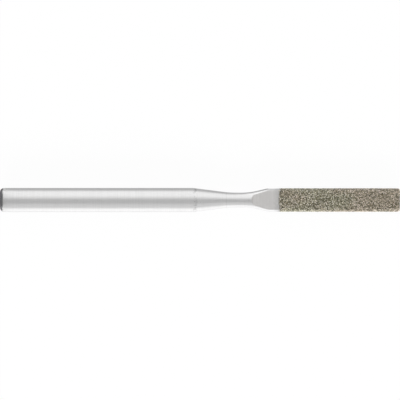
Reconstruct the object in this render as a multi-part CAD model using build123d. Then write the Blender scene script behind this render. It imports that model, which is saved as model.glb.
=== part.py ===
from build123d import *

import os
from math import cos, radians, sin, tan

# A flat diamond file for a machine's file holder, in millimetres. One piece of steel is turned to a
# shank, a taper, a slim neck and a flared head, and the head is then milled flat on both faces. A thin
# layer of diamond grit in nickel is bonded round the end of the head.
# The shank's axis is X and the tip is at +X. The two flats face +Z and -Z. The origin is the centre
# of the shank's rear end face, which is the stop that a holder seats it against.

# Overall
OVERALL_LENGTH = 50.0
COATED_LENGTH = 15.0

# Shank and taper
SHANK_DIAMETER = 3.0
SHANK_STRAIGHT_END = 24.15
REAR_ROUNDING = 0.5
TAPER_END = 28.3
TAPER_HALF_ANGLE = 7.3

# Neck: the slimmest stretch, between the taper and the flare
NECK_DIAMETER = 1.825
NECK_START = 30.0
NECK_END = 30.2

# Flare: a hollow arc, a short cone and a shoulder arc that ends along the head
FLARE_RADIUS = 8.5
FLARE_HALF_ANGLE = 13.2
SHOULDER_RADIUS = 2.3

# Head and its two milled flats. Under the diamond layer the head is turned down a little, so that
# the layer ends up nearly flush with the bare steel at the sides.
HEAD_DIAMETER = 2.93
CORE_DIAMETER = 2.84
BLADE_THICKNESS = 1.64
FLAT_START = 31.83
RUN_OUT_RADIUS = 0.5
EDGE_BREAK = 0.03
TIP_ROUNDING = 0.23

# Diamond layer
COAT_THICKNESS = 0.07
COAT_EDGE_ROUNDING = 0.1
COAT_START_BREAK = 0.03

# How far the milling cutter's outline reaches past the steel it removes
CUTTER_CLEARANCE = 2.0


def turned_blank():
    """The steel as it leaves the lathe: one outline from rear to tip, turned about the axis."""
    shank_radius = SHANK_DIAMETER / 2
    neck_radius = NECK_DIAMETER / 2
    head_radius = HEAD_DIAMETER / 2
    core_radius = CORE_DIAMETER / 2
    tip = OVERALL_LENGTH - COAT_THICKNESS
    coat_start = OVERALL_LENGTH - COATED_LENGTH
    taper_drop = (TAPER_END - SHANK_STRAIGHT_END) * tan(radians(TAPER_HALF_ANGLE))
    shoulder_rise = SHOULDER_RADIUS * (1 - cos(radians(FLARE_HALF_ANGLE)))
    with BuildSketch() as outline:
        with BuildLine():
            rear_face = Line((0, 0), (0, shank_radius - REAR_ROUNDING))
            rear_round = JernArc(rear_face @ 1, (0, 1), REAR_ROUNDING, -90)
            shank = Line(rear_round @ 1, (SHANK_STRAIGHT_END, shank_radius))
            taper = Line(shank @ 1, (TAPER_END, shank_radius - taper_drop))
            neck = Line((NECK_START, neck_radius), (NECK_END, neck_radius))
            TangentArc(neck @ 0, taper @ 1, tangent=(-1, 0))
            flare = JernArc(neck @ 1, (1, 0), FLARE_RADIUS, FLARE_HALF_ANGLE)
            cone_rise = head_radius - shoulder_rise - (flare @ 1).Y
            cone_length = cone_rise / sin(radians(FLARE_HALF_ANGLE))
            cone = PolarLine(flare @ 1, cone_length, FLARE_HALF_ANGLE)
            shoulder = JernArc(cone @ 1, cone % 1, SHOULDER_RADIUS, -FLARE_HALF_ANGLE)
            head = Line(shoulder @ 1, (coat_start, head_radius))
            step = Line(head @ 1, (coat_start, core_radius))
            core = Line(step @ 1, (tip - TIP_ROUNDING, core_radius))
            tip_round = JernArc(core @ 1, (1, 0), TIP_ROUNDING, -90)
            tip_face = Line(tip_round @ 1, (tip, 0))
            Line(tip_face @ 1, (0, 0))
        make_face()
    return revolve(outline.sketch, Axis.X)


def flat_cutter():
    """What the milling cutter removes above the blade, with its curved run-out at the neck."""
    floor = BLADE_THICKNESS / 2
    far = OVERALL_LENGTH + CUTTER_CLEARANCE
    top = SHANK_DIAMETER / 2 + CUTTER_CLEARANCE
    back = FLAT_START - RUN_OUT_RADIUS
    with BuildSketch(Plane.XZ) as side_view:
        with BuildLine():
            flat = Line((far, floor), (FLAT_START, floor))
            run_out = JernArc(flat @ 1, (-1, 0), RUN_OUT_RADIUS, -90)
            Polyline(run_out @ 1, (back, top), (far, top), (far, floor))
        make_face()
    return extrude(side_view.sketch, SHANK_DIAMETER, both=True)


def file_body():
    """The turned blank with a flat milled on each face and each flat's border edge broken."""
    upper = flat_cutter()
    steel = turned_blank() - upper - mirror(upper, Plane.XY)
    half = BLADE_THICKNESS / 2
    border = [
        edge
        for edge in steel.edges()
        if abs(abs(edge.center().Z) - half) < 1e-4 and edge.center().X > FLAT_START
    ]
    return fillet(border, EDGE_BREAK)


def coated_form():
    """The core's form with the layer on it: turned, flat on both faces, rounded at its edges."""
    radius = CORE_DIAMETER / 2 + COAT_THICKNESS
    half = BLADE_THICKNESS / 2 + COAT_THICKNESS
    start = OVERALL_LENGTH - COATED_LENGTH
    rounding = TIP_ROUNDING + COAT_THICKNESS
    with BuildSketch() as outline:
        with BuildLine():
            start_face = Line((start, 0), (start, radius))
            side = Line(start_face @ 1, (OVERALL_LENGTH - rounding, radius))
            tip_round = JernArc(side @ 1, (1, 0), rounding, -90)
            tip_face = Line(tip_round @ 1, (OVERALL_LENGTH, 0))
            Line(tip_face @ 1, (start, 0))
        make_face()
    slab = Pos(OVERALL_LENGTH, 0, 0) * Box(2 * COATED_LENGTH, 2 * SHANK_DIAMETER, 2 * half)
    form = revolve(outline.sketch, Axis.X) & slab
    border = [
        edge
        for edge in form.edges()
        if abs(abs(edge.center().Z) - half) < 1e-4 and edge.center().X > start
    ]
    form = fillet(border, COAT_EDGE_ROUNDING)
    return chamfer(form.faces().sort_by(Axis.X)[0].edges(), COAT_START_BREAK)


os.makedirs("parts", exist_ok=True)
steel = file_body()
export_step(steel, "parts/file_body.step")
export_step(coated_form() - steel, "parts/diamond_coating.step")
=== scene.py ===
import math
import random

import bmesh
import bpy
import numpy as np
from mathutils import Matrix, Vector, noise


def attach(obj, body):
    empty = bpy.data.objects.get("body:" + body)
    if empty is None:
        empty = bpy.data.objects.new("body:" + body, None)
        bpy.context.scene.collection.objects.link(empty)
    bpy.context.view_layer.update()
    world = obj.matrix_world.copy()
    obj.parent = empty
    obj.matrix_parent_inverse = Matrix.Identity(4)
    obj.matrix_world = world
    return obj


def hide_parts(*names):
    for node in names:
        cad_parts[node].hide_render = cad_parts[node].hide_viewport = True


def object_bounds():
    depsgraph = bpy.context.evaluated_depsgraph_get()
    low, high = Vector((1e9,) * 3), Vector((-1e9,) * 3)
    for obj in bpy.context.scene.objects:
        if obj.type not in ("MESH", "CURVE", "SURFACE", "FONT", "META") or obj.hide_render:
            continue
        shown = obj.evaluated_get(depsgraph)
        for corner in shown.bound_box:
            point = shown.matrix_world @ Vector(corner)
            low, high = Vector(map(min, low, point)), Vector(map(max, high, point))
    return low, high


# A flat diamond file lying on a plain pale floor, seen from straight above. Lengths are written in
# millimetres and turned into metres where a mesh, a lamp or the camera is made. X runs along the shank
# to the tip, Y across the blade, and Z square to its flats.
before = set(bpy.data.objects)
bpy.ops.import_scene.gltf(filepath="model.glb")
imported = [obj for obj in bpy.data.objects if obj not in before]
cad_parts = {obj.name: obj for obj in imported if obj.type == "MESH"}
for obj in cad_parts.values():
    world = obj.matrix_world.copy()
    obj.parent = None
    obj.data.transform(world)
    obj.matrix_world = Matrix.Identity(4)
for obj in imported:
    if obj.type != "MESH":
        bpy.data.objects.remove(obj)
cad_low, cad_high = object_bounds()
MM = 0.001
SEED = 11

# The steel, as in the part's source
OVERALL_LENGTH = cad_high.x / MM
COATED_LENGTH = 15.0
SHANK_RADIUS = 1.5
SHANK_STRAIGHT_END = 24.15
REAR_ROUNDING = 0.5
TAPER_END = 28.3
TAPER_HALF_ANGLE = math.radians(7.3)
NECK_RADIUS = 0.9125
NECK_START = 30.0
NECK_END = 30.2
FLARE_RADIUS = 8.5
FLARE_HALF_ANGLE = math.radians(13.2)
SHOULDER_RADIUS = 2.3
HEAD_RADIUS = 1.465
CORE_RADIUS = 1.42
FLAT_HEIGHT = 0.82
FLAT_START = 31.83
RUN_OUT_RADIUS = 0.5
EDGE_BREAK = 0.03
TIP_ROUNDING = 0.23
COAT_THICKNESS = 0.07
STEEL_LENGTH = OVERALL_LENGTH - COAT_THICKNESS
COAT_START = OVERALL_LENGTH - COATED_LENGTH

# Cross-sections of the steel: segments in a quarter of the round side, a corner and half a flat, rings
# in each end's rounding and across its face, how near the sections on both sides of a crease stand to it,
# where the head is straight, and how wide the step down to the coated core is drawn
SIDE_SEGMENTS = 24
CORNER_SEGMENTS = 3
FLAT_SEGMENTS = 5
REAR_RINGS = 8
TIP_RINGS = 5
FACE_RINGS = 6
CREASE = 0.03
HEAD_STRAIGHT_FROM = 34.0
STEP_WIDTH = 0.002

# The bed of nickel: its depth, girth, mesh and lumps, and how its open end wanders along the blade
BED_DEPTH = 0.018
BED_GIRTH = 9.0
BED_SPACING = 0.08
BED_TIP_RINGS = 4
BED_LUMPS = 0.006
BED_LUMPS_FROM = COAT_START + 0.05
BED_COARSE_WAVES = 7.0
BED_FINE_WAVES = 17.0
BED_MARGIN = 0.17
BED_EDGE_WANDER = 0.12
BED_EDGE_WAVES = 2.1
BED_EDGE_SLICE = 4.0
BED_EDGE_REACH = 1.0

# The grit that stands in the bed. Darts are the places that are tried at random, and spacing is a share
# of two grains' mean size. A grain's shape is given for a grain about one across.
GRAIN_START = COAT_START - 0.12
GRAIN_DARTS = 100000
GRAIN_SIZE = (0.076, 0.168)
GRAIN_SPACING = 0.72
GRAIN_SINK = 0.25
GRAIN_SHAPES = 28
GRAIN_POINTS = 10
GOLDEN_ANGLE = 2.4
GRAIN_POINT_TURN = 0.5
GRAIN_POINT_REACH = (0.42, 0.56)
GRAIN_WIDTH = (0.75, 1.0)
GRAIN_HEIGHT = (0.65, 0.95)

# Colours. Grain tones run from the darkest grain to the palest. Each millimetre towards the tip adds to
# the value that turns the grit from olive to brown.
TURNED_TINT = (1.0, 0.997, 0.995)
MILLED_TINT = (1.0, 0.982, 0.964)
BARE_NICKEL = (0.52, 0.51, 0.49)
# The nickel between the grains: its dull, patchy grey, darkened further as painted shade between the grains.
PATCHY_NICKEL_AND_PAINTED_SHADE = ((0.3, (0.15, 0.141, 0.105)), (0.7, (0.27, 0.255, 0.19)))
OLIVE_TONES = (
    (0.0, (0.032, 0.029, 0.008)),
    (0.27, (0.121, 0.113, 0.051)),
    (0.52, (0.482, 0.453, 0.306)),
    (1.0, (0.96, 0.91, 0.78)),
)
BROWN_TONES = (
    (0.0, (0.036, 0.025, 0.010)),
    (0.27, (0.137, 0.104, 0.057)),
    (0.52, (0.522, 0.436, 0.315)),
    (1.0, (1.0, 0.87, 0.76)),
)
BROWNING = 0.018
OLIVE_TO_BROWN = (1.12, 1.30)

# Finish. Shine is how much the metal reflects, and a pair of values is the range that a pattern spans.
TURNED_SHINE = (0.87, 0.90)
TURNED_ROUGHNESS = (0.25, 0.31)
SCUFF_ROUGHNESS = 0.06
MILLED_SHINE = (0.91, 0.94)
MILLED_ROUGHNESS = (0.42, 0.48)
NICKEL_ROUGHNESS = (0.4, 0.55)
GRAIN_ROUGHNESS = (0.08, 0.4)
GRAIN_IOR = 1.9

# Patterns: how many fit in a millimetre along X, Y and Z, or for the turned lines along the profile and
# round it. Depths are those of the bumps that they make.
TURNED_LINES = (14.0, 0.35)
LONG_WAVES = (0.12, 0.9, 0.9)
SCUFFS = (0.5, 7.0, 7.0)
NICKS = (2.0, 2.0, 2.0)
FILM_BLOTCHES = (3.5, 3.5, 3.5)
MILLED_LINES = (14.0, 0.4, 0.4)
MILLED_PATCHES = (1.5, 1.5, 1.5)
NICKEL_PATCHES = (3.0, 3.0, 3.0)
NICKEL_PITS = (25.0, 25.0, 25.0)
GRIT_PATCHES = (0.25, 0.35, 0.35)
TURNED_LINE_DEPTH = 0.001
LONG_WAVE_DEPTH = 0.006
MILLED_LINE_DEPTH = 0.0014
PIT_DEPTH = 0.004

# Marks on the steel and painted light: the uneven groove where the taper starts, the faint ring where it
# ends, the fine lines, partly darkened as painted sheen, the blotchy film beside the coat, which also
# roughens the turned steel, and the dark ring on the rear rounding, a painted dark reflection, which fades
# in over a range off the axis and out over a range along the shank
GROOVE_PLACE = SHANK_STRAIGHT_END + 0.25
GROOVE_WIDTH = 0.35
TAPER_RING_WIDTH = 0.1
TAPER_RING_STRENGTH = 0.18
MARK_DULLING = 0.35
# The two line darkenings below are painted sheen laid on real lines, which also bump and roughen the steel.
TURNED_LINE_PAINTED_SHEEN = 0.05
MILLED_LINE_PAINTED_SHEEN = 0.06
FILM_RANGE = (COAT_START - 0.9, COAT_START)
FILM_WANDER = 0.2
FILM_DULLING = 0.2
# The rear ring is a painted dark reflection: the rounding's colour is darkened where it would mirror dark
# surroundings.
REAR_RING_OFF_AXIS = (0.95, 1.1)
REAR_RING_ALONG = (0.15, 0.45)
REAR_RING_PAINTED_DARKNESS = 0.55

# Where the coat's bare margin of nickel gives way to the darker nickel between the grains, whose darkness is
# partly painted shade
MARGIN_RANGE = (COAT_START - 0.15, COAT_START + 0.1)

# The set. The floor and the world look white but light matt surfaces at a plain level. The floor keeps
# a small share of its own shading, and with it the file's shadow.
FLOOR_SIZE = 4000.0
FLOOR_TONE = 0.92
FLOOR_WHITE_SHARE = 0.955
FLOOR_HEIGHT = -SHANK_RADIUS
AMBIENT = 0.55
CARD_HEIGHT = FLOOR_HEIGHT + 0.2
LEVEL = (0, 0, 0)

# Cards that show only in reflections: name, width, depth, place, turn in degrees and brightness. The big
# ones stand far off and grey the shank and the flats. The rear card and the two rear shades darken the
# rear rounding. The others lie just above the floor and draw the file's outlines, but for the small flare
# card, which stands upright and brightens the flare.
CARDS = (
    ("ceiling_card", 2600.0, 390.0, (25.0, -83.0, 391.0), (12, 0, 0), 0.505),
    ("ceiling_edge", 1200.0, 127.0, (25.0, 163.0, 365.0), (-24, 0, 0), 0.8),
    ("low_card", 1200.0, 348.0, (25.0, -351.0, 191.0), (61.5, 0, 0), 0.685),
    ("end_card", 500.0, 900.0, (700.0, 0, 230.0), (0, 90, 0), 0.42),
    ("rear_card", 14.0, 27.0, (-5.2, 1.5, 6.1), (0, -75, 0), 0.2),
    ("rear_shade", 7.2, 8.0, (-3.4, 3.1, CARD_HEIGHT), LEVEL, 0.2),
    ("rear_shade_low", 6.2, 5.5, (-4.1, -3.65, CARD_HEIGHT), LEVEL, 0.22),
    ("side_shade", 30.0, 9.0, (15.4, 5.5, CARD_HEIGHT), LEVEL, 0.49),
    ("side_haze", 90.0, 32.0, (15.4, 26.0, CARD_HEIGHT), LEVEL, 0.76),
    ("low_shade", 25.2, 1.1, (12.0, -2.15, CARD_HEIGHT), LEVEL, 0.86),
    ("white_card", 91.0, 30.0, (45.5, -17.5, CARD_HEIGHT), LEVEL, 1.13),
    ("flare_card", 1.8, 1.3, (31.6, 4.5, 0.35), (90, 0, 0), 1.5),
    ("flare_shade", 3.5, 2.6, (31.65, 2.2, CARD_HEIGHT), LEVEL, 0.3),
    ("head_shade", 3.4, 4.4, (34.95, 6.2, CARD_HEIGHT), LEVEL, 0.25),
)

# Lamps that show in no reflection: name, degrees from straight up towards +Y, distance, width, length and
# radiance
LAMPS = (
    ("softbox", 59, 400.0, 373.0, 1200.0, 0.4),
    ("softbox_edge", 23, 400.0, 155.0, 1200.0, 0.33),
    ("low_panel", -62, 400.0, 300.0, 1200.0, 0.22),
    ("key", -64, 600.0, 200.0, 600.0, 10.2),
)

# The view: the photo is exactly as wide as the file is long
SENSOR = 36.0
LENS = 400.0
VIEW_WIDTH = OVERALL_LENGTH
CLIP_START = 1.0


def outline_radius(x):
    """Radius of the turned steel at x, before its flats are milled."""
    if x < REAR_ROUNDING:
        return SHANK_RADIUS - REAR_ROUNDING + math.sqrt(x * (2 * REAR_ROUNDING - x))
    if x < SHANK_STRAIGHT_END:
        return SHANK_RADIUS
    if x < TAPER_END:
        return SHANK_RADIUS - (x - SHANK_STRAIGHT_END) * math.tan(TAPER_HALF_ANGLE)
    if x < NECK_START:
        taper_end_radius = SHANK_RADIUS - (TAPER_END - SHANK_STRAIGHT_END) * math.tan(TAPER_HALF_ANGLE)
        drop = taper_end_radius - NECK_RADIUS
        run = NECK_START - TAPER_END
        sweep = (run * run + drop * drop) / (2 * drop)
        return NECK_RADIUS + sweep - math.sqrt(sweep * sweep - (NECK_START - x) ** 2)
    if x < NECK_END:
        return NECK_RADIUS
    if x < COAT_START:
        return flare_radius(x)
    left = STEEL_LENGTH - x
    if left < TIP_ROUNDING:
        return CORE_RADIUS - TIP_ROUNDING + math.sqrt(max(left * (2 * TIP_ROUNDING - left), 0.0))
    return CORE_RADIUS


def flare_radius(x):
    """Radius from the neck to the coat: hollow arc, short cone, shoulder arc and round head."""
    slope = math.tan(FLARE_HALF_ANGLE)
    arc_end = NECK_END + FLARE_RADIUS * math.sin(FLARE_HALF_ANGLE)
    if x < arc_end:
        return NECK_RADIUS + FLARE_RADIUS - math.sqrt(FLARE_RADIUS ** 2 - (x - NECK_END) ** 2)
    arc_end_radius = NECK_RADIUS + FLARE_RADIUS * (1 - math.cos(FLARE_HALF_ANGLE))
    shoulder_rise = SHOULDER_RADIUS * (1 - math.cos(FLARE_HALF_ANGLE))
    cone_end = arc_end + (HEAD_RADIUS - shoulder_rise - arc_end_radius) / slope
    if x < cone_end:
        return arc_end_radius + (x - arc_end) * slope
    shoulder_end = cone_end + SHOULDER_RADIUS * math.sin(FLARE_HALF_ANGLE)
    if x < shoulder_end:
        return HEAD_RADIUS - SHOULDER_RADIUS + math.sqrt(SHOULDER_RADIUS ** 2 - (shoulder_end - x) ** 2)
    return HEAD_RADIUS


def flat_height(x):
    """Height of the milled flat above the axis at x, with the curved run-out at its neck end."""
    into = FLAT_START - x
    if into <= 0:
        return FLAT_HEIGHT
    if into >= RUN_OUT_RADIUS:
        return SHANK_RADIUS
    return FLAT_HEIGHT + RUN_OUT_RADIUS - math.sqrt(RUN_OUT_RADIUS ** 2 - into ** 2)


def quarter_section(radius, half, rounding):
    """Points (y, z) from the side's middle to the flat's middle: round side, broken corner, flat."""
    half = min(half, radius)
    centre_z = half - rounding
    centre_y = math.sqrt(max((radius - rounding) ** 2 - centre_z ** 2, 0.0))
    corner = math.atan2(centre_z, centre_y)
    points = []
    for i in range(SIDE_SEGMENTS):
        angle = corner * i / SIDE_SEGMENTS
        points.append((radius * math.cos(angle), radius * math.sin(angle)))
    for i in range(CORNER_SEGMENTS):
        angle = corner + (math.pi / 2 - corner) * i / CORNER_SEGMENTS
        points.append((centre_y + rounding * math.cos(angle), centre_z + rounding * math.sin(angle)))
    for i in range(FLAT_SEGMENTS + 1):
        points.append((centre_y * (1 - i / FLAT_SEGMENTS), half))
    return points


def full_section(radius, half, rounding):
    """The whole ring of a cross-section, mirrored from its first quarter."""
    quarter = quarter_section(radius, half, rounding)
    upper = quarter + [(-y, z) for y, z in reversed(quarter[:-1])]
    lower = [(y, -z) for y, z in reversed(upper[1:-1])]
    return upper + lower


def spread(start, end, step):
    """Stations from start up to, but not including, end, about a step apart."""
    count = max(1, round((end - start) / step))
    return [start + (end - start) * i / count for i in range(count)]


def rounding_stations(length, count):
    """Distances into a rounding, at even angles from its end face."""
    return [length * (1 - math.cos(math.pi / 2 * i / count)) for i in range(count)]


def steel_stations():
    """Where the steel's cross-sections are: close together where its outline or flat bends."""
    nose_start = FLAT_START - RUN_OUT_RADIUS
    nose_end = FLAT_START + 0.02
    stretches = (
        (REAR_ROUNDING, SHANK_STRAIGHT_END - CREASE, 1.0),
        (SHANK_STRAIGHT_END - CREASE, SHANK_STRAIGHT_END + CREASE, CREASE),
        (SHANK_STRAIGHT_END + CREASE, TAPER_END - CREASE, 0.5),
        (TAPER_END - CREASE, TAPER_END + CREASE, CREASE),
        (TAPER_END + CREASE, nose_start, 0.08),
        (nose_start, nose_end, 0.01),
        (nose_end, HEAD_STRAIGHT_FROM, 0.04),
        (HEAD_STRAIGHT_FROM, COAT_START - STEP_WIDTH, 0.25),
        (COAT_START - STEP_WIDTH, COAT_START, STEP_WIDTH),
        (COAT_START, STEEL_LENGTH - TIP_ROUNDING, 0.5),
    )
    stations = rounding_stations(REAR_ROUNDING, REAR_RINGS)
    for start, end, step in stretches:
        stations += spread(start, end, step)
    return stations + [STEEL_LENGTH - d for d in reversed(rounding_stations(TIP_ROUNDING, TIP_RINGS))]


def finished_object(name, mesh, materials):
    """A piece of the object: linked, with its materials, riding on the one body."""
    piece = bpy.data.objects.new(name, mesh)
    bpy.context.scene.collection.objects.link(piece)
    for material in materials:
        mesh.materials.append(material)
    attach(piece, "root")
    return piece


def skin(rings, first_centre, last_centre):
    """A mesh through rings of equal count, without doubled points. A fan closes an end that has a centre."""
    bm = bmesh.new()
    loops = [[bm.verts.new(Vector(p) * MM) for p in ring] for ring in rings]
    count = len(loops[0])
    for a, b in zip(loops, loops[1:]):
        for i in range(count):
            j = (i + 1) % count
            bm.faces.new((a[i], a[j], b[j], b[i]))
    for loop, centre, flip in ((loops[0], first_centre, True), (loops[-1], last_centre, False)):
        if centre is None:
            continue
        hub = bm.verts.new(Vector(centre) * MM)
        for i in range(count):
            j = (i + 1) % count
            bm.faces.new((hub, loop[j], loop[i]) if flip else (hub, loop[i], loop[j]))
    bmesh.ops.remove_doubles(bm, verts=bm.verts, dist=1e-7)
    bmesh.ops.dissolve_degenerate(bm, edges=bm.edges, dist=1e-8)
    bmesh.ops.recalc_face_normals(bm, faces=bm.faces)
    return bm


def to_mesh(bm, name, smooth=True):
    """A mesh from a bmesh, which is freed."""
    mesh = bpy.data.meshes.new(name)
    bm.to_mesh(mesh)
    bm.free()
    for face in mesh.polygons:
        face.use_smooth = smooth
    return mesh


def make_steel(turned, milled):
    """The turned and milled file, in place of the plain solid of the same form."""
    rings = []
    for x in steel_stations():
        section = full_section(outline_radius(x), flat_height(x), EDGE_BREAK)
        rings.append([(x, y, z) for y, z in section])
    first = rings[0]
    last = rings[-1]
    shares = [i / FACE_RINGS for i in range(1, FACE_RINGS)]
    rear = [[(x, y * s, z * s) for x, y, z in first] for s in shares]
    tip = [[(x, y * s, z * s) for x, y, z in last] for s in reversed(shares)]
    bm = skin(rear + rings + tip, (0, 0, 0), (STEEL_LENGTH, 0, 0))
    mesh = to_mesh(bm, "file_steel")
    steel = finished_object("file_steel", mesh, (turned, milled))
    for face in mesh.polygons:
        face.material_index = int(is_milled(face))
    weighted = steel.modifiers.new("flat faces stay flat", "WEIGHTED_NORMAL")
    weighted.keep_sharp = True
    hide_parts("file_body")


def is_milled(face):
    """Whether a face lies on a milled flat or on the curved run-out at its end."""
    inset = 0.004
    slack = 0.002
    centre = face.center / MM
    past_start = centre.x > FLAT_START - RUN_OUT_RADIUS
    inside = math.hypot(centre.y, centre.z) < outline_radius(centre.x) - inset
    return past_start and inside and abs(centre.z) > FLAT_HEIGHT - slack


def bed_stations():
    """Cross-sections of the nickel bed, from its open end to the tip's rounding."""
    tip = STEEL_LENGTH + BED_DEPTH
    rounding = TIP_ROUNDING + BED_DEPTH
    straight = spread(COAT_START - BED_MARGIN, tip - rounding, BED_SPACING)
    return straight + [tip - d for d in reversed(rounding_stations(rounding, BED_TIP_RINGS))]


def bed_section(x):
    """The bed's even outer ring at x: the core's section with the bed's depth added."""
    rounding = TIP_ROUNDING + BED_DEPTH
    radius = CORE_RADIUS + BED_DEPTH
    left = STEEL_LENGTH + BED_DEPTH - x
    if left < rounding:
        radius += math.sqrt(max(left * (2 * rounding - left), 0.0)) - rounding
    half = FLAT_HEIGHT + BED_DEPTH
    return even_ring(full_section(radius, half, EDGE_BREAK + BED_DEPTH))


def even_ring(ring):
    """The same closed ring with points an even distance apart, and as many as on every other ring."""
    count = 4 * round(BED_GIRTH / BED_SPACING / 4)
    closed = np.array(ring + ring[:1])
    reach = np.concatenate(([0.0], np.cumsum(np.hypot(*np.diff(closed, axis=0).T))))
    at = np.arange(count) * reach[-1] / count
    return list(zip(np.interp(at, reach, closed[:, 0]), np.interp(at, reach, closed[:, 1])))


def edge_wander(y, z):
    """How far the bed's open end wanders along the blade, at a place round it."""
    return BED_EDGE_WANDER * noise.noise(Vector((y * BED_EDGE_WAVES, z * BED_EDGE_WAVES, BED_EDGE_SLICE)))


def bed_rings():
    """The bed's rings, which wander with its open end and are straight further on."""
    rings = []
    for x in bed_stations():
        lag = max(0.0, 1.0 - (x - COAT_START) / BED_EDGE_REACH)
        rings.append([(x + lag * edge_wander(y, z), y, z) for y, z in bed_section(x)])
    return rings


def make_bed(material):
    """The nickel that holds the grit: a thin lumpy sleeve, closed at the tip, round the steel."""
    rings = bed_rings()
    last = rings[-1]
    shares = [0.8, 0.6, 0.4, 0.2]
    tip = [[(x, y * s, z * s) for x, y, z in last] for s in shares]
    bm = skin(rings + tip, None, (last[0][0], 0, 0))
    bm.normal_update()
    for vert in bm.verts:
        place = vert.co / MM
        if place.x > BED_LUMPS_FROM:
            lump = noise.noise(place * BED_COARSE_WAVES) + 0.5 * noise.noise(place * BED_FINE_WAVES)
            vert.co += vert.normal * lump * BED_LUMPS * MM
    mesh = to_mesh(bm, "nickel_bed")
    bed = finished_object("nickel_bed", mesh, (material,))
    wall = bed.modifiers.new("hollow for the steel", "SOLIDIFY")
    wall.thickness = BED_DEPTH * MM
    wall.offset = -1.0
    wall.use_even_offset = True
    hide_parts("diamond_coating")
    return bed


def grain_shape(pick):
    """One broken crystal about one across: the hull of a few points near a squashed ball."""
    bm = bmesh.new()
    squash = Vector((1.0, pick.uniform(*GRAIN_WIDTH), pick.uniform(*GRAIN_HEIGHT)))
    for i in range(GRAIN_POINTS):
        level = 1 - 2 * (i + 0.5) / GRAIN_POINTS
        turn = i * GOLDEN_ANGLE + pick.uniform(-GRAIN_POINT_TURN, GRAIN_POINT_TURN)
        ring = math.sqrt(1 - level * level)
        point = Vector((ring * math.cos(turn), ring * math.sin(turn), level))
        bm.verts.new(Vector(a * b for a, b in zip(point, squash)) * pick.uniform(*GRAIN_POINT_REACH))
    bmesh.ops.convex_hull(bm, input=bm.verts)
    bmesh.ops.triangulate(bm, faces=bm.faces)
    bm.verts.ensure_lookup_table()
    bm.verts.index_update()
    verts = np.array([v.co[:] for v in bm.verts])
    faces = np.array([[v.index for v in f.verts] for f in bm.faces])
    used = np.unique(faces)
    renumber = np.zeros(len(verts), int)
    renumber[used] = np.arange(len(used))
    bm.free()
    return verts[used], renumber[faces]


def surface_points(bed, pick):
    """Random points on the bed's outer side, from its open end to the tip, with their outward normals."""
    mesh = bed.data
    mesh.calc_loop_triangles()
    corners = np.array([[mesh.vertices[i].co[:] for i in t.vertices] for t in mesh.loop_triangles]) / MM
    normals = np.array([t.normal[:] for t in mesh.loop_triangles])
    areas = np.linalg.norm(np.cross(corners[:, 1] - corners[:, 0], corners[:, 2] - corners[:, 0]), axis=1)
    chosen = pick.choice(len(corners), GRAIN_DARTS, p=areas / areas.sum())
    a = np.sqrt(pick.random(GRAIN_DARTS))[:, None]
    b = pick.random(GRAIN_DARTS)[:, None]
    tri = corners[chosen]
    points = tri[:, 0] * (1 - a) + tri[:, 1] * a * (1 - b) + tri[:, 2] * a * b
    clear = points[:, 0] > GRAIN_START + np.array([edge_wander(p[1], p[2]) for p in points])
    return points[clear], normals[chosen][clear]


def packed(points, sizes):
    """Which points stay, largest first, where each keeps clear of all that stayed before it."""
    cell = GRAIN_SPACING * max(sizes)
    cells = {}
    kept = []
    for n, (p, size) in enumerate(zip(points, sizes)):
        key = tuple((p // cell).astype(int))
        near = (
            k
            for dx in (-1, 0, 1)
            for dy in (-1, 0, 1)
            for dz in (-1, 0, 1)
            for k in cells.get((key[0] + dx, key[1] + dy, key[2] + dz), ())
        )
        if all(((points[k] - p) ** 2).sum() >= (GRAIN_SPACING * (sizes[k] + size) / 2) ** 2 for k in near):
            cells.setdefault(key, []).append(n)
            kept.append(n)
    return kept


def random_turns(count, pick):
    """Evenly random rotation matrices, from random quaternions."""
    q = pick.normal(size=(count, 4))
    w, x, y, z = (q / np.linalg.norm(q, axis=1)[:, None]).T
    rows = (
        (1 - 2 * (y * y + z * z), 2 * (x * y - z * w), 2 * (x * z + y * w)),
        (2 * (x * y + z * w), 1 - 2 * (x * x + z * z), 2 * (y * z - x * w)),
        (2 * (x * z - y * w), 2 * (y * z + x * w), 1 - 2 * (x * x + y * y)),
    )
    return np.array(rows).transpose(2, 0, 1)


def make_grit(bed, material):
    """Thousands of separate crystals, each sunk into the nickel and tinted by itself."""
    pick = np.random.default_rng(SEED)
    shapes = [grain_shape(random.Random(SEED + i)) for i in range(GRAIN_SHAPES)]
    points, normals = surface_points(bed, pick)
    sizes = np.sort(pick.uniform(*GRAIN_SIZE, len(points)))[::-1]
    kept = packed(points, sizes)
    turns = random_turns(len(kept), pick)
    verts, faces, tones = [], [], []
    start = 0
    for point, normal, size, turn in zip(points[kept], normals[kept], sizes[kept], turns):
        shape, hull = shapes[pick.integers(GRAIN_SHAPES)]
        sink = GRAIN_SINK * (size - GRAIN_SIZE[0])
        placed = (shape * size) @ turn.T + point - normal * sink
        verts.append(placed)
        faces.append(hull + start)
        tones.append(np.repeat([pick.random(3)], len(shape), axis=0))
        start += len(shape)
    mesh = bpy.data.meshes.new("diamond_grit")
    mesh.from_pydata((np.concatenate(verts) * MM).tolist(), [], np.concatenate(faces).tolist())
    tone = mesh.color_attributes.new("grain_tone", "FLOAT_COLOR", "POINT")
    filled = np.concatenate((np.concatenate(tones), np.ones((start, 1))), axis=1)
    tone.data.foreach_set("color", filled.astype(np.float32).ravel())
    grit = finished_object("diamond_grit", mesh, (material,))


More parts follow.
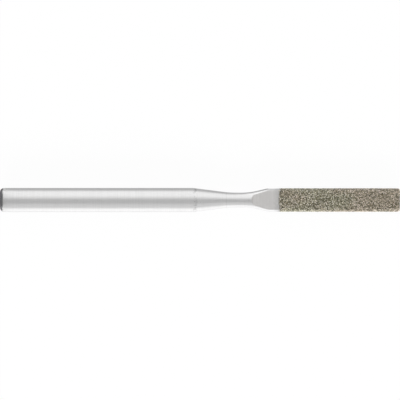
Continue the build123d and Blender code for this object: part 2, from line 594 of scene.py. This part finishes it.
class Shading:
    """A material's or the world's node tree, with short ways to add and join its nodes."""

    def __init__(self, owner):
        owner.use_nodes = True
        self.nodes = owner.node_tree.nodes
        self.links = owner.node_tree.links

    def add(self, kind, **settings):
        """A new node of a kind, with its settings."""
        node = self.nodes.new("ShaderNode" + kind)
        for name, value in settings.items():
            setattr(node, name, value)
        return node

    def join(self, source, target):
        """Link one node's output to another's input."""
        self.links.new(source, target)

    def maths(self, operation, first, second=None):
        """A Math node's result, from sockets or plain numbers."""
        node = self.add("Math", operation=operation)
        for socket, value in zip(node.inputs, (first, second)):
            if isinstance(value, bpy.types.NodeSocket):
                self.join(value, socket)
            elif value is not None:
                socket.default_value = value
        return node.outputs[0]

    def place(self, scale):
        """The object's own coordinates in millimetres, times a scale for each axis."""
        coordinates = self.add("TexCoord")
        mapping = self.add("Mapping")
        mapping.inputs["Scale"].default_value = [s / MM for s in scale]
        self.join(coordinates.outputs["Object"], mapping.inputs["Vector"])
        return mapping.outputs["Vector"]

    def axes(self):
        """The object's own X, Y and Z in millimetres, each as a value."""
        split = self.add("SeparateXYZ")
        self.join(self.place((1, 1, 1)), split.inputs[0])
        return split.outputs

    def off_axis(self):
        """The distance from the file's axis in millimetres."""
        axes = self.axes()
        y_squared = self.maths("POWER", axes["Y"], 2.0)
        z_squared = self.maths("POWER", axes["Z"], 2.0)
        return self.maths("SQRT", self.maths("ADD", y_squared, z_squared))

    def noise(self, vector, detail):
        """Soft random values, mostly 0.3 to 0.7, in a pattern about one unit of the vector across."""
        texture = self.add("TexNoise")
        texture.inputs["Scale"].default_value = 1.0
        texture.inputs["Detail"].default_value = detail
        self.join(vector, texture.inputs["Vector"])
        return texture.outputs["Fac"]

    def fit(self, value, low, high, start=0.3, end=0.7):
        """A value's usual range, start to end, stretched to run from low to high."""
        node = self.add("MapRange")
        node.inputs["From Min"].default_value = start
        node.inputs["From Max"].default_value = end
        node.inputs["To Min"].default_value = low
        node.inputs["To Max"].default_value = high
        self.join(value, node.inputs["Value"])
        return node.outputs["Result"]

    def ramp(self, value, stops):
        """A colour for a value, from (position, colour) stops."""
        node = self.add("ValToRGB")
        elements = node.color_ramp.elements
        while len(elements) < len(stops):
            elements.new(0.5)
        for element, (position, colour) in zip(elements, stops):
            element.position = position
            element.color = (*colour, 1)
        self.join(value, node.inputs["Fac"])
        return node.outputs["Color"]

    def tinted(self, value, tint):
        """A colour: a tint times a brightness."""
        colour = self.add("CombineColor")
        for channel, share in zip(("Red", "Green", "Blue"), tint):
            self.join(self.maths("MULTIPLY", value, share), colour.inputs[channel])
        return colour.outputs[0]

    def bump(self, height, depth, before=None):
        """A bumped normal: height 0 to 1 stands for a depth in millimetres."""
        node = self.add("Bump")
        node.inputs["Strength"].default_value = 1.0
        node.inputs["Distance"].default_value = depth * MM
        self.join(height, node.inputs["Height"])
        if before is not None:
            self.join(before, node.inputs["Normal"])
        return node.outputs["Normal"]


def steel_shader(material):
    """The start of a steel material: its tree and its metal shader."""
    tree = Shading(material)
    shader = tree.nodes["Principled BSDF"]
    shader.inputs["Metallic"].default_value = 1.0
    return tree, shader


def profile_place(tree, along, around):
    """Coordinates that change fast along the turned profile, faces included, and slowly round it."""
    axes = tree.axes()
    travel = tree.maths("SUBTRACT", axes["X"], tree.off_axis())
    turned = tree.add("CombineXYZ")
    tree.join(tree.maths("MULTIPLY", travel, along), turned.inputs["X"])
    tree.join(tree.maths("MULTIPLY", axes["Y"], around), turned.inputs["Y"])
    tree.join(tree.maths("MULTIPLY", axes["Z"], around), turned.inputs["Z"])
    return turned.outputs[0]


def rear_rounding(tree):
    """1 on the rear end's rounding, fading to 0 on the shank and on the end face."""
    off_face = tree.fit(tree.off_axis(), 0.0, 1.0, *REAR_RING_OFF_AXIS)
    off_shank = tree.fit(tree.axes()["X"], 1.0, 0.0, *REAR_RING_ALONG)
    return tree.maths("MULTIPLY", off_face, off_shank)


def ring_mark(tree, middle, width):
    """1 on a narrow band round the file at a distance from its rear end, fading to 0 on both sides."""
    away = tree.maths("ABSOLUTE", tree.maths("SUBTRACT", tree.axes()["X"], middle))
    return tree.fit(away, 1.0, 0.0, 0.0, width)


def tool_marks(tree):
    """The uneven groove where the taper starts and the faint ring where it ends."""
    nicks = tree.noise(tree.place(NICKS), detail=4.0)
    groove = ring_mark(tree, GROOVE_PLACE, GROOVE_WIDTH)
    groove = tree.maths("MULTIPLY", groove, tree.fit(nicks, 0.0, 1.0, 0.45, 0.65))
    taper_end = tree.maths("MULTIPLY", ring_mark(tree, TAPER_END, TAPER_RING_WIDTH), TAPER_RING_STRENGTH)
    return tree.maths("MAXIMUM", groove, taper_end)


def film(tree, start, end):
    """0 before one distance from the rear end and 1 after another, with a blotchy edge between them."""
    blotches = tree.noise(tree.place(FILM_BLOTCHES), detail=3.0)
    reach = tree.maths("ADD", tree.axes()["X"], tree.fit(blotches, -FILM_WANDER, FILM_WANDER))
    return tree.fit(reach, 0.0, 1.0, start, end)


def turned_steel():
    """Satin steel with fine lines round it, partly darkened as painted sheen, long soft waves, scuffs, tool
    marks, and a rear ring darkened as a painted dark reflection.
    """
    material = bpy.data.materials.new("turned_steel")
    tree, shader = steel_shader(material)
    lines = tree.noise(profile_place(tree, *TURNED_LINES), detail=3.0)
    waves = tree.noise(tree.place(LONG_WAVES), detail=1.0)
    scuffs = tree.noise(tree.place(SCUFFS), detail=3.0)
    filmed = tree.maths("MULTIPLY", film(tree, *FILM_RANGE), FILM_DULLING)
    dulled = tree.maths("ADD", tree.maths("MULTIPLY", tool_marks(tree), MARK_DULLING), filmed)
    # The fine lines are real; darkening the colour along them is painted sheen.
    dulled = tree.maths("ADD", dulled, tree.fit(lines, 0.0, TURNED_LINE_PAINTED_SHEEN))
    shine = tree.maths("SUBTRACT", tree.fit(scuffs, *TURNED_SHINE), dulled)
    # Painted dark reflection: the rear rounding's colour is darkened in place of the dark surroundings it
    # would mirror.
    ring = tree.maths("MULTIPLY", rear_rounding(tree), REAR_RING_PAINTED_DARKNESS)
    shine = tree.maths("MULTIPLY", shine, tree.maths("SUBTRACT", 1.0, ring))
    tree.join(tree.tinted(shine, TURNED_TINT), shader.inputs["Base Color"])
    scuffed = tree.maths("MULTIPLY", scuffs, SCUFF_ROUGHNESS)
    rough = tree.maths("ADD", tree.fit(lines, *TURNED_ROUGHNESS), scuffed)
    tree.join(tree.maths("ADD", rough, filmed), shader.inputs["Roughness"])
    wavy = tree.bump(waves, LONG_WAVE_DEPTH)
    tree.join(tree.bump(lines, TURNED_LINE_DEPTH, wavy), shader.inputs["Normal"])
    return material


def milled_steel():
    """The flats' more matt face, with faint straight lines across the blade, whose darkening is painted
    sheen.
    """
    material = bpy.data.materials.new("milled_steel")
    tree, shader = steel_shader(material)
    lines = tree.noise(tree.place(MILLED_LINES), detail=3.0)
    patches = tree.noise(tree.place(MILLED_PATCHES), detail=2.0)
    filmed = tree.maths("MULTIPLY", film(tree, *FILM_RANGE), FILM_DULLING)
    # The lines are real; darkening the colour along them is painted sheen.
    dulled = tree.maths("ADD", filmed, tree.fit(lines, 0.0, MILLED_LINE_PAINTED_SHEEN))
    shine = tree.maths("SUBTRACT", tree.fit(patches, *MILLED_SHINE), dulled)
    tree.join(tree.tinted(shine, MILLED_TINT), shader.inputs["Base Color"])
    tree.join(tree.fit(patches, *MILLED_ROUGHNESS), shader.inputs["Roughness"])
    tree.join(tree.bump(lines, MILLED_LINE_DEPTH), shader.inputs["Normal"])
    return material


def nickel_material():
    """Dull, patchy plated nickel, darkened between the grains as painted shade, and bright at its bare
    margin.
    """
    material = bpy.data.materials.new("nickel_bed")
    tree, shader = steel_shader(material)
    patches = tree.noise(tree.place(NICKEL_PATCHES), detail=3.0)
    pits = tree.noise(tree.place(NICKEL_PITS), detail=2.0)
    colour = tree.add("Mix", data_type="RGBA")
    tree.join(film(tree, *MARGIN_RANGE), colour.inputs["Factor"])
    colour.inputs[6].default_value = (*BARE_NICKEL, 1)
    # The darker nickel ramp is partly painted shade between the grains.
    tree.join(tree.ramp(patches, PATCHY_NICKEL_AND_PAINTED_SHADE), colour.inputs[7])
    tree.join(colour.outputs[2], shader.inputs["Base Color"])
    tree.join(tree.fit(pits, *NICKEL_ROUGHNESS), shader.inputs["Roughness"])
    tree.join(tree.bump(pits, PIT_DEPTH), shader.inputs["Normal"])
    return material


def grit_material():
    """Broken diamond from near black to pale straw, olive in some patches and brown in others."""
    material = bpy.data.materials.new("diamond_grit")
    tree = Shading(material)
    shader = tree.nodes["Principled BSDF"]
    tone = tree.add("Attribute", attribute_name="grain_tone")
    split = tree.add("SeparateColor")
    tree.join(tone.outputs["Color"], split.inputs["Color"])
    level = split.outputs["Red"]
    patches = tree.noise(tree.place(GRIT_PATCHES), detail=2.0)
    hue = tree.maths("ADD", patches, tree.maths("MULTIPLY", tree.axes()["X"], BROWNING))
    mix = tree.add("Mix", data_type="RGBA")
    tree.join(tree.fit(hue, 0.0, 1.0, *OLIVE_TO_BROWN), mix.inputs["Factor"])
    tree.join(tree.ramp(level, OLIVE_TONES), mix.inputs[6])
    tree.join(tree.ramp(level, BROWN_TONES), mix.inputs[7])
    tree.join(mix.outputs[2], shader.inputs["Base Color"])
    tree.join(tree.fit(split.outputs["Blue"], *GRAIN_ROUGHNESS, 0.0, 1.0), shader.inputs["Roughness"])
    shader.inputs["IOR"].default_value = GRAIN_IOR
    return material


def seen_directly(tree):
    """1 for what the camera sees, also by way of metal or glass, and 0 for what lights matt surfaces."""
    path = tree.add("LightPath")
    mirrored = tree.maths("MAXIMUM", path.outputs["Is Glossy Ray"], path.outputs["Is Transmission Ray"])
    return tree.maths("MAXIMUM", path.outputs["Is Camera Ray"], mirrored)


def floor_material():
    """Pale floor that is seen as white, with a trace of the file's shadow kept in it."""
    material = bpy.data.materials.new("pale_floor")
    tree = Shading(material)
    diffuse = tree.add("BsdfDiffuse")
    diffuse.inputs["Color"].default_value = (FLOOR_TONE, FLOOR_TONE, FLOOR_TONE, 1)
    glow = tree.add("Emission")
    glow.inputs["Strength"].default_value = 1.0
    share = tree.maths("MULTIPLY", seen_directly(tree), FLOOR_WHITE_SHARE)
    mix = tree.add("MixShader")
    tree.join(share, mix.inputs["Fac"])
    tree.join(diffuse.outputs[0], mix.inputs[1])
    tree.join(glow.outputs[0], mix.inputs[2])
    tree.join(mix.outputs[0], tree.nodes["Material Output"].inputs["Surface"])
    return material


def stage_sheet(name, width, depth, material):
    """A flat rectangle of the set, centred on its own origin."""
    bm = bmesh.new()
    half = Vector((width / 2 * MM, depth / 2 * MM, 0))
    corners = [bm.verts.new((half.x * i, half.y * j, 0)) for i, j in ((-1, -1), (1, -1), (1, 1), (-1, 1))]
    bm.faces.new(corners)
    mesh = to_mesh(bm, name, smooth=False)
    mesh.materials.append(material)
    sheet = bpy.data.objects.new(name, mesh)
    bpy.context.scene.collection.objects.link(sheet)
    return sheet


def make_floor():
    """The floor, which the shank just touches."""
    floor = stage_sheet("floor", FLOOR_SIZE, FLOOR_SIZE, floor_material())
    floor.location.z = FLOOR_HEIGHT * MM


def reflected_card(name, width, depth, place, turn, tone):
    """A card of the set that shows only in reflections. The tone is its brightness."""
    material = bpy.data.materials.new(name)
    tree = Shading(material)
    glow = tree.add("Emission")
    glow.inputs["Color"].default_value = (tone, tone, tone, 1)
    tree.join(glow.outputs[0], tree.nodes["Material Output"].inputs["Surface"])
    card = stage_sheet(name, width, depth, material)
    card.location = Vector(place) * MM
    card.rotation_euler = [math.radians(angle) for angle in turn]
    card.visible_camera = False
    card.visible_diffuse = False
    card.visible_transmission = False
    card.visible_shadow = False


def make_world():
    """A world that looks white but lights matt surfaces at a plain level."""
    world = bpy.data.worlds.new("studio")
    bpy.context.scene.world = world
    tree = Shading(world)
    plain = tree.nodes["Background"]
    plain.inputs["Color"].default_value = (AMBIENT, AMBIENT, AMBIENT, 1)
    white = tree.add("Background")
    white.inputs["Color"].default_value = (1, 1, 1, 1)
    mix = tree.add("MixShader")
    tree.join(seen_directly(tree), mix.inputs["Fac"])
    tree.join(plain.outputs[0], mix.inputs[1])
    tree.join(white.outputs[0], mix.inputs[2])
    tree.join(mix.outputs[0], tree.nodes["World Output"].inputs["Surface"])


def soft_lamp(name, angle, distance, width, length, radiance):
    """A long soft lamp beside the file's middle, at an angle from straight up towards +Y."""
    angle = math.radians(angle)
    lamp = bpy.data.lights.new(name, "AREA")
    lamp.shape = "RECTANGLE"
    lamp.size = length * MM
    lamp.size_y = width * MM
    lamp.energy = radiance * math.pi * lamp.size * lamp.size_y
    holder = bpy.data.objects.new(name, lamp)
    middle = Vector((OVERALL_LENGTH / 2, 0, 0)) * MM
    away = Vector((0, math.sin(angle), math.cos(angle)))
    holder.location = middle + away * distance * MM
    holder.rotation_euler = (-angle, 0, 0)
    holder.visible_glossy = False
    bpy.context.scene.collection.objects.link(holder)


def make_camera():
    """The camera straight above the file's middle, where the frame is as wide as the view."""
    camera = bpy.data.cameras.new("camera")
    camera.sensor_width = SENSOR
    camera.lens = LENS
    holder = bpy.data.objects.new("camera", camera)
    distance = VIEW_WIDTH / 2 / (SENSOR / 2 / LENS)
    holder.location = Vector((OVERALL_LENGTH / 2, 0, distance)) * MM
    camera.clip_start = CLIP_START * MM
    bpy.context.scene.collection.objects.link(holder)
    bpy.context.scene.camera = holder


bpy.context.scene.view_settings.view_transform = "Standard"
make_camera()
make_floor()
make_world()
for card in CARDS:
    reflected_card(*card)
for lamp in LAMPS:
    soft_lamp(*lamp)
make_steel(turned_steel(), milled_steel())
bed = make_bed(nickel_material())
make_grit(bed, grit_material())
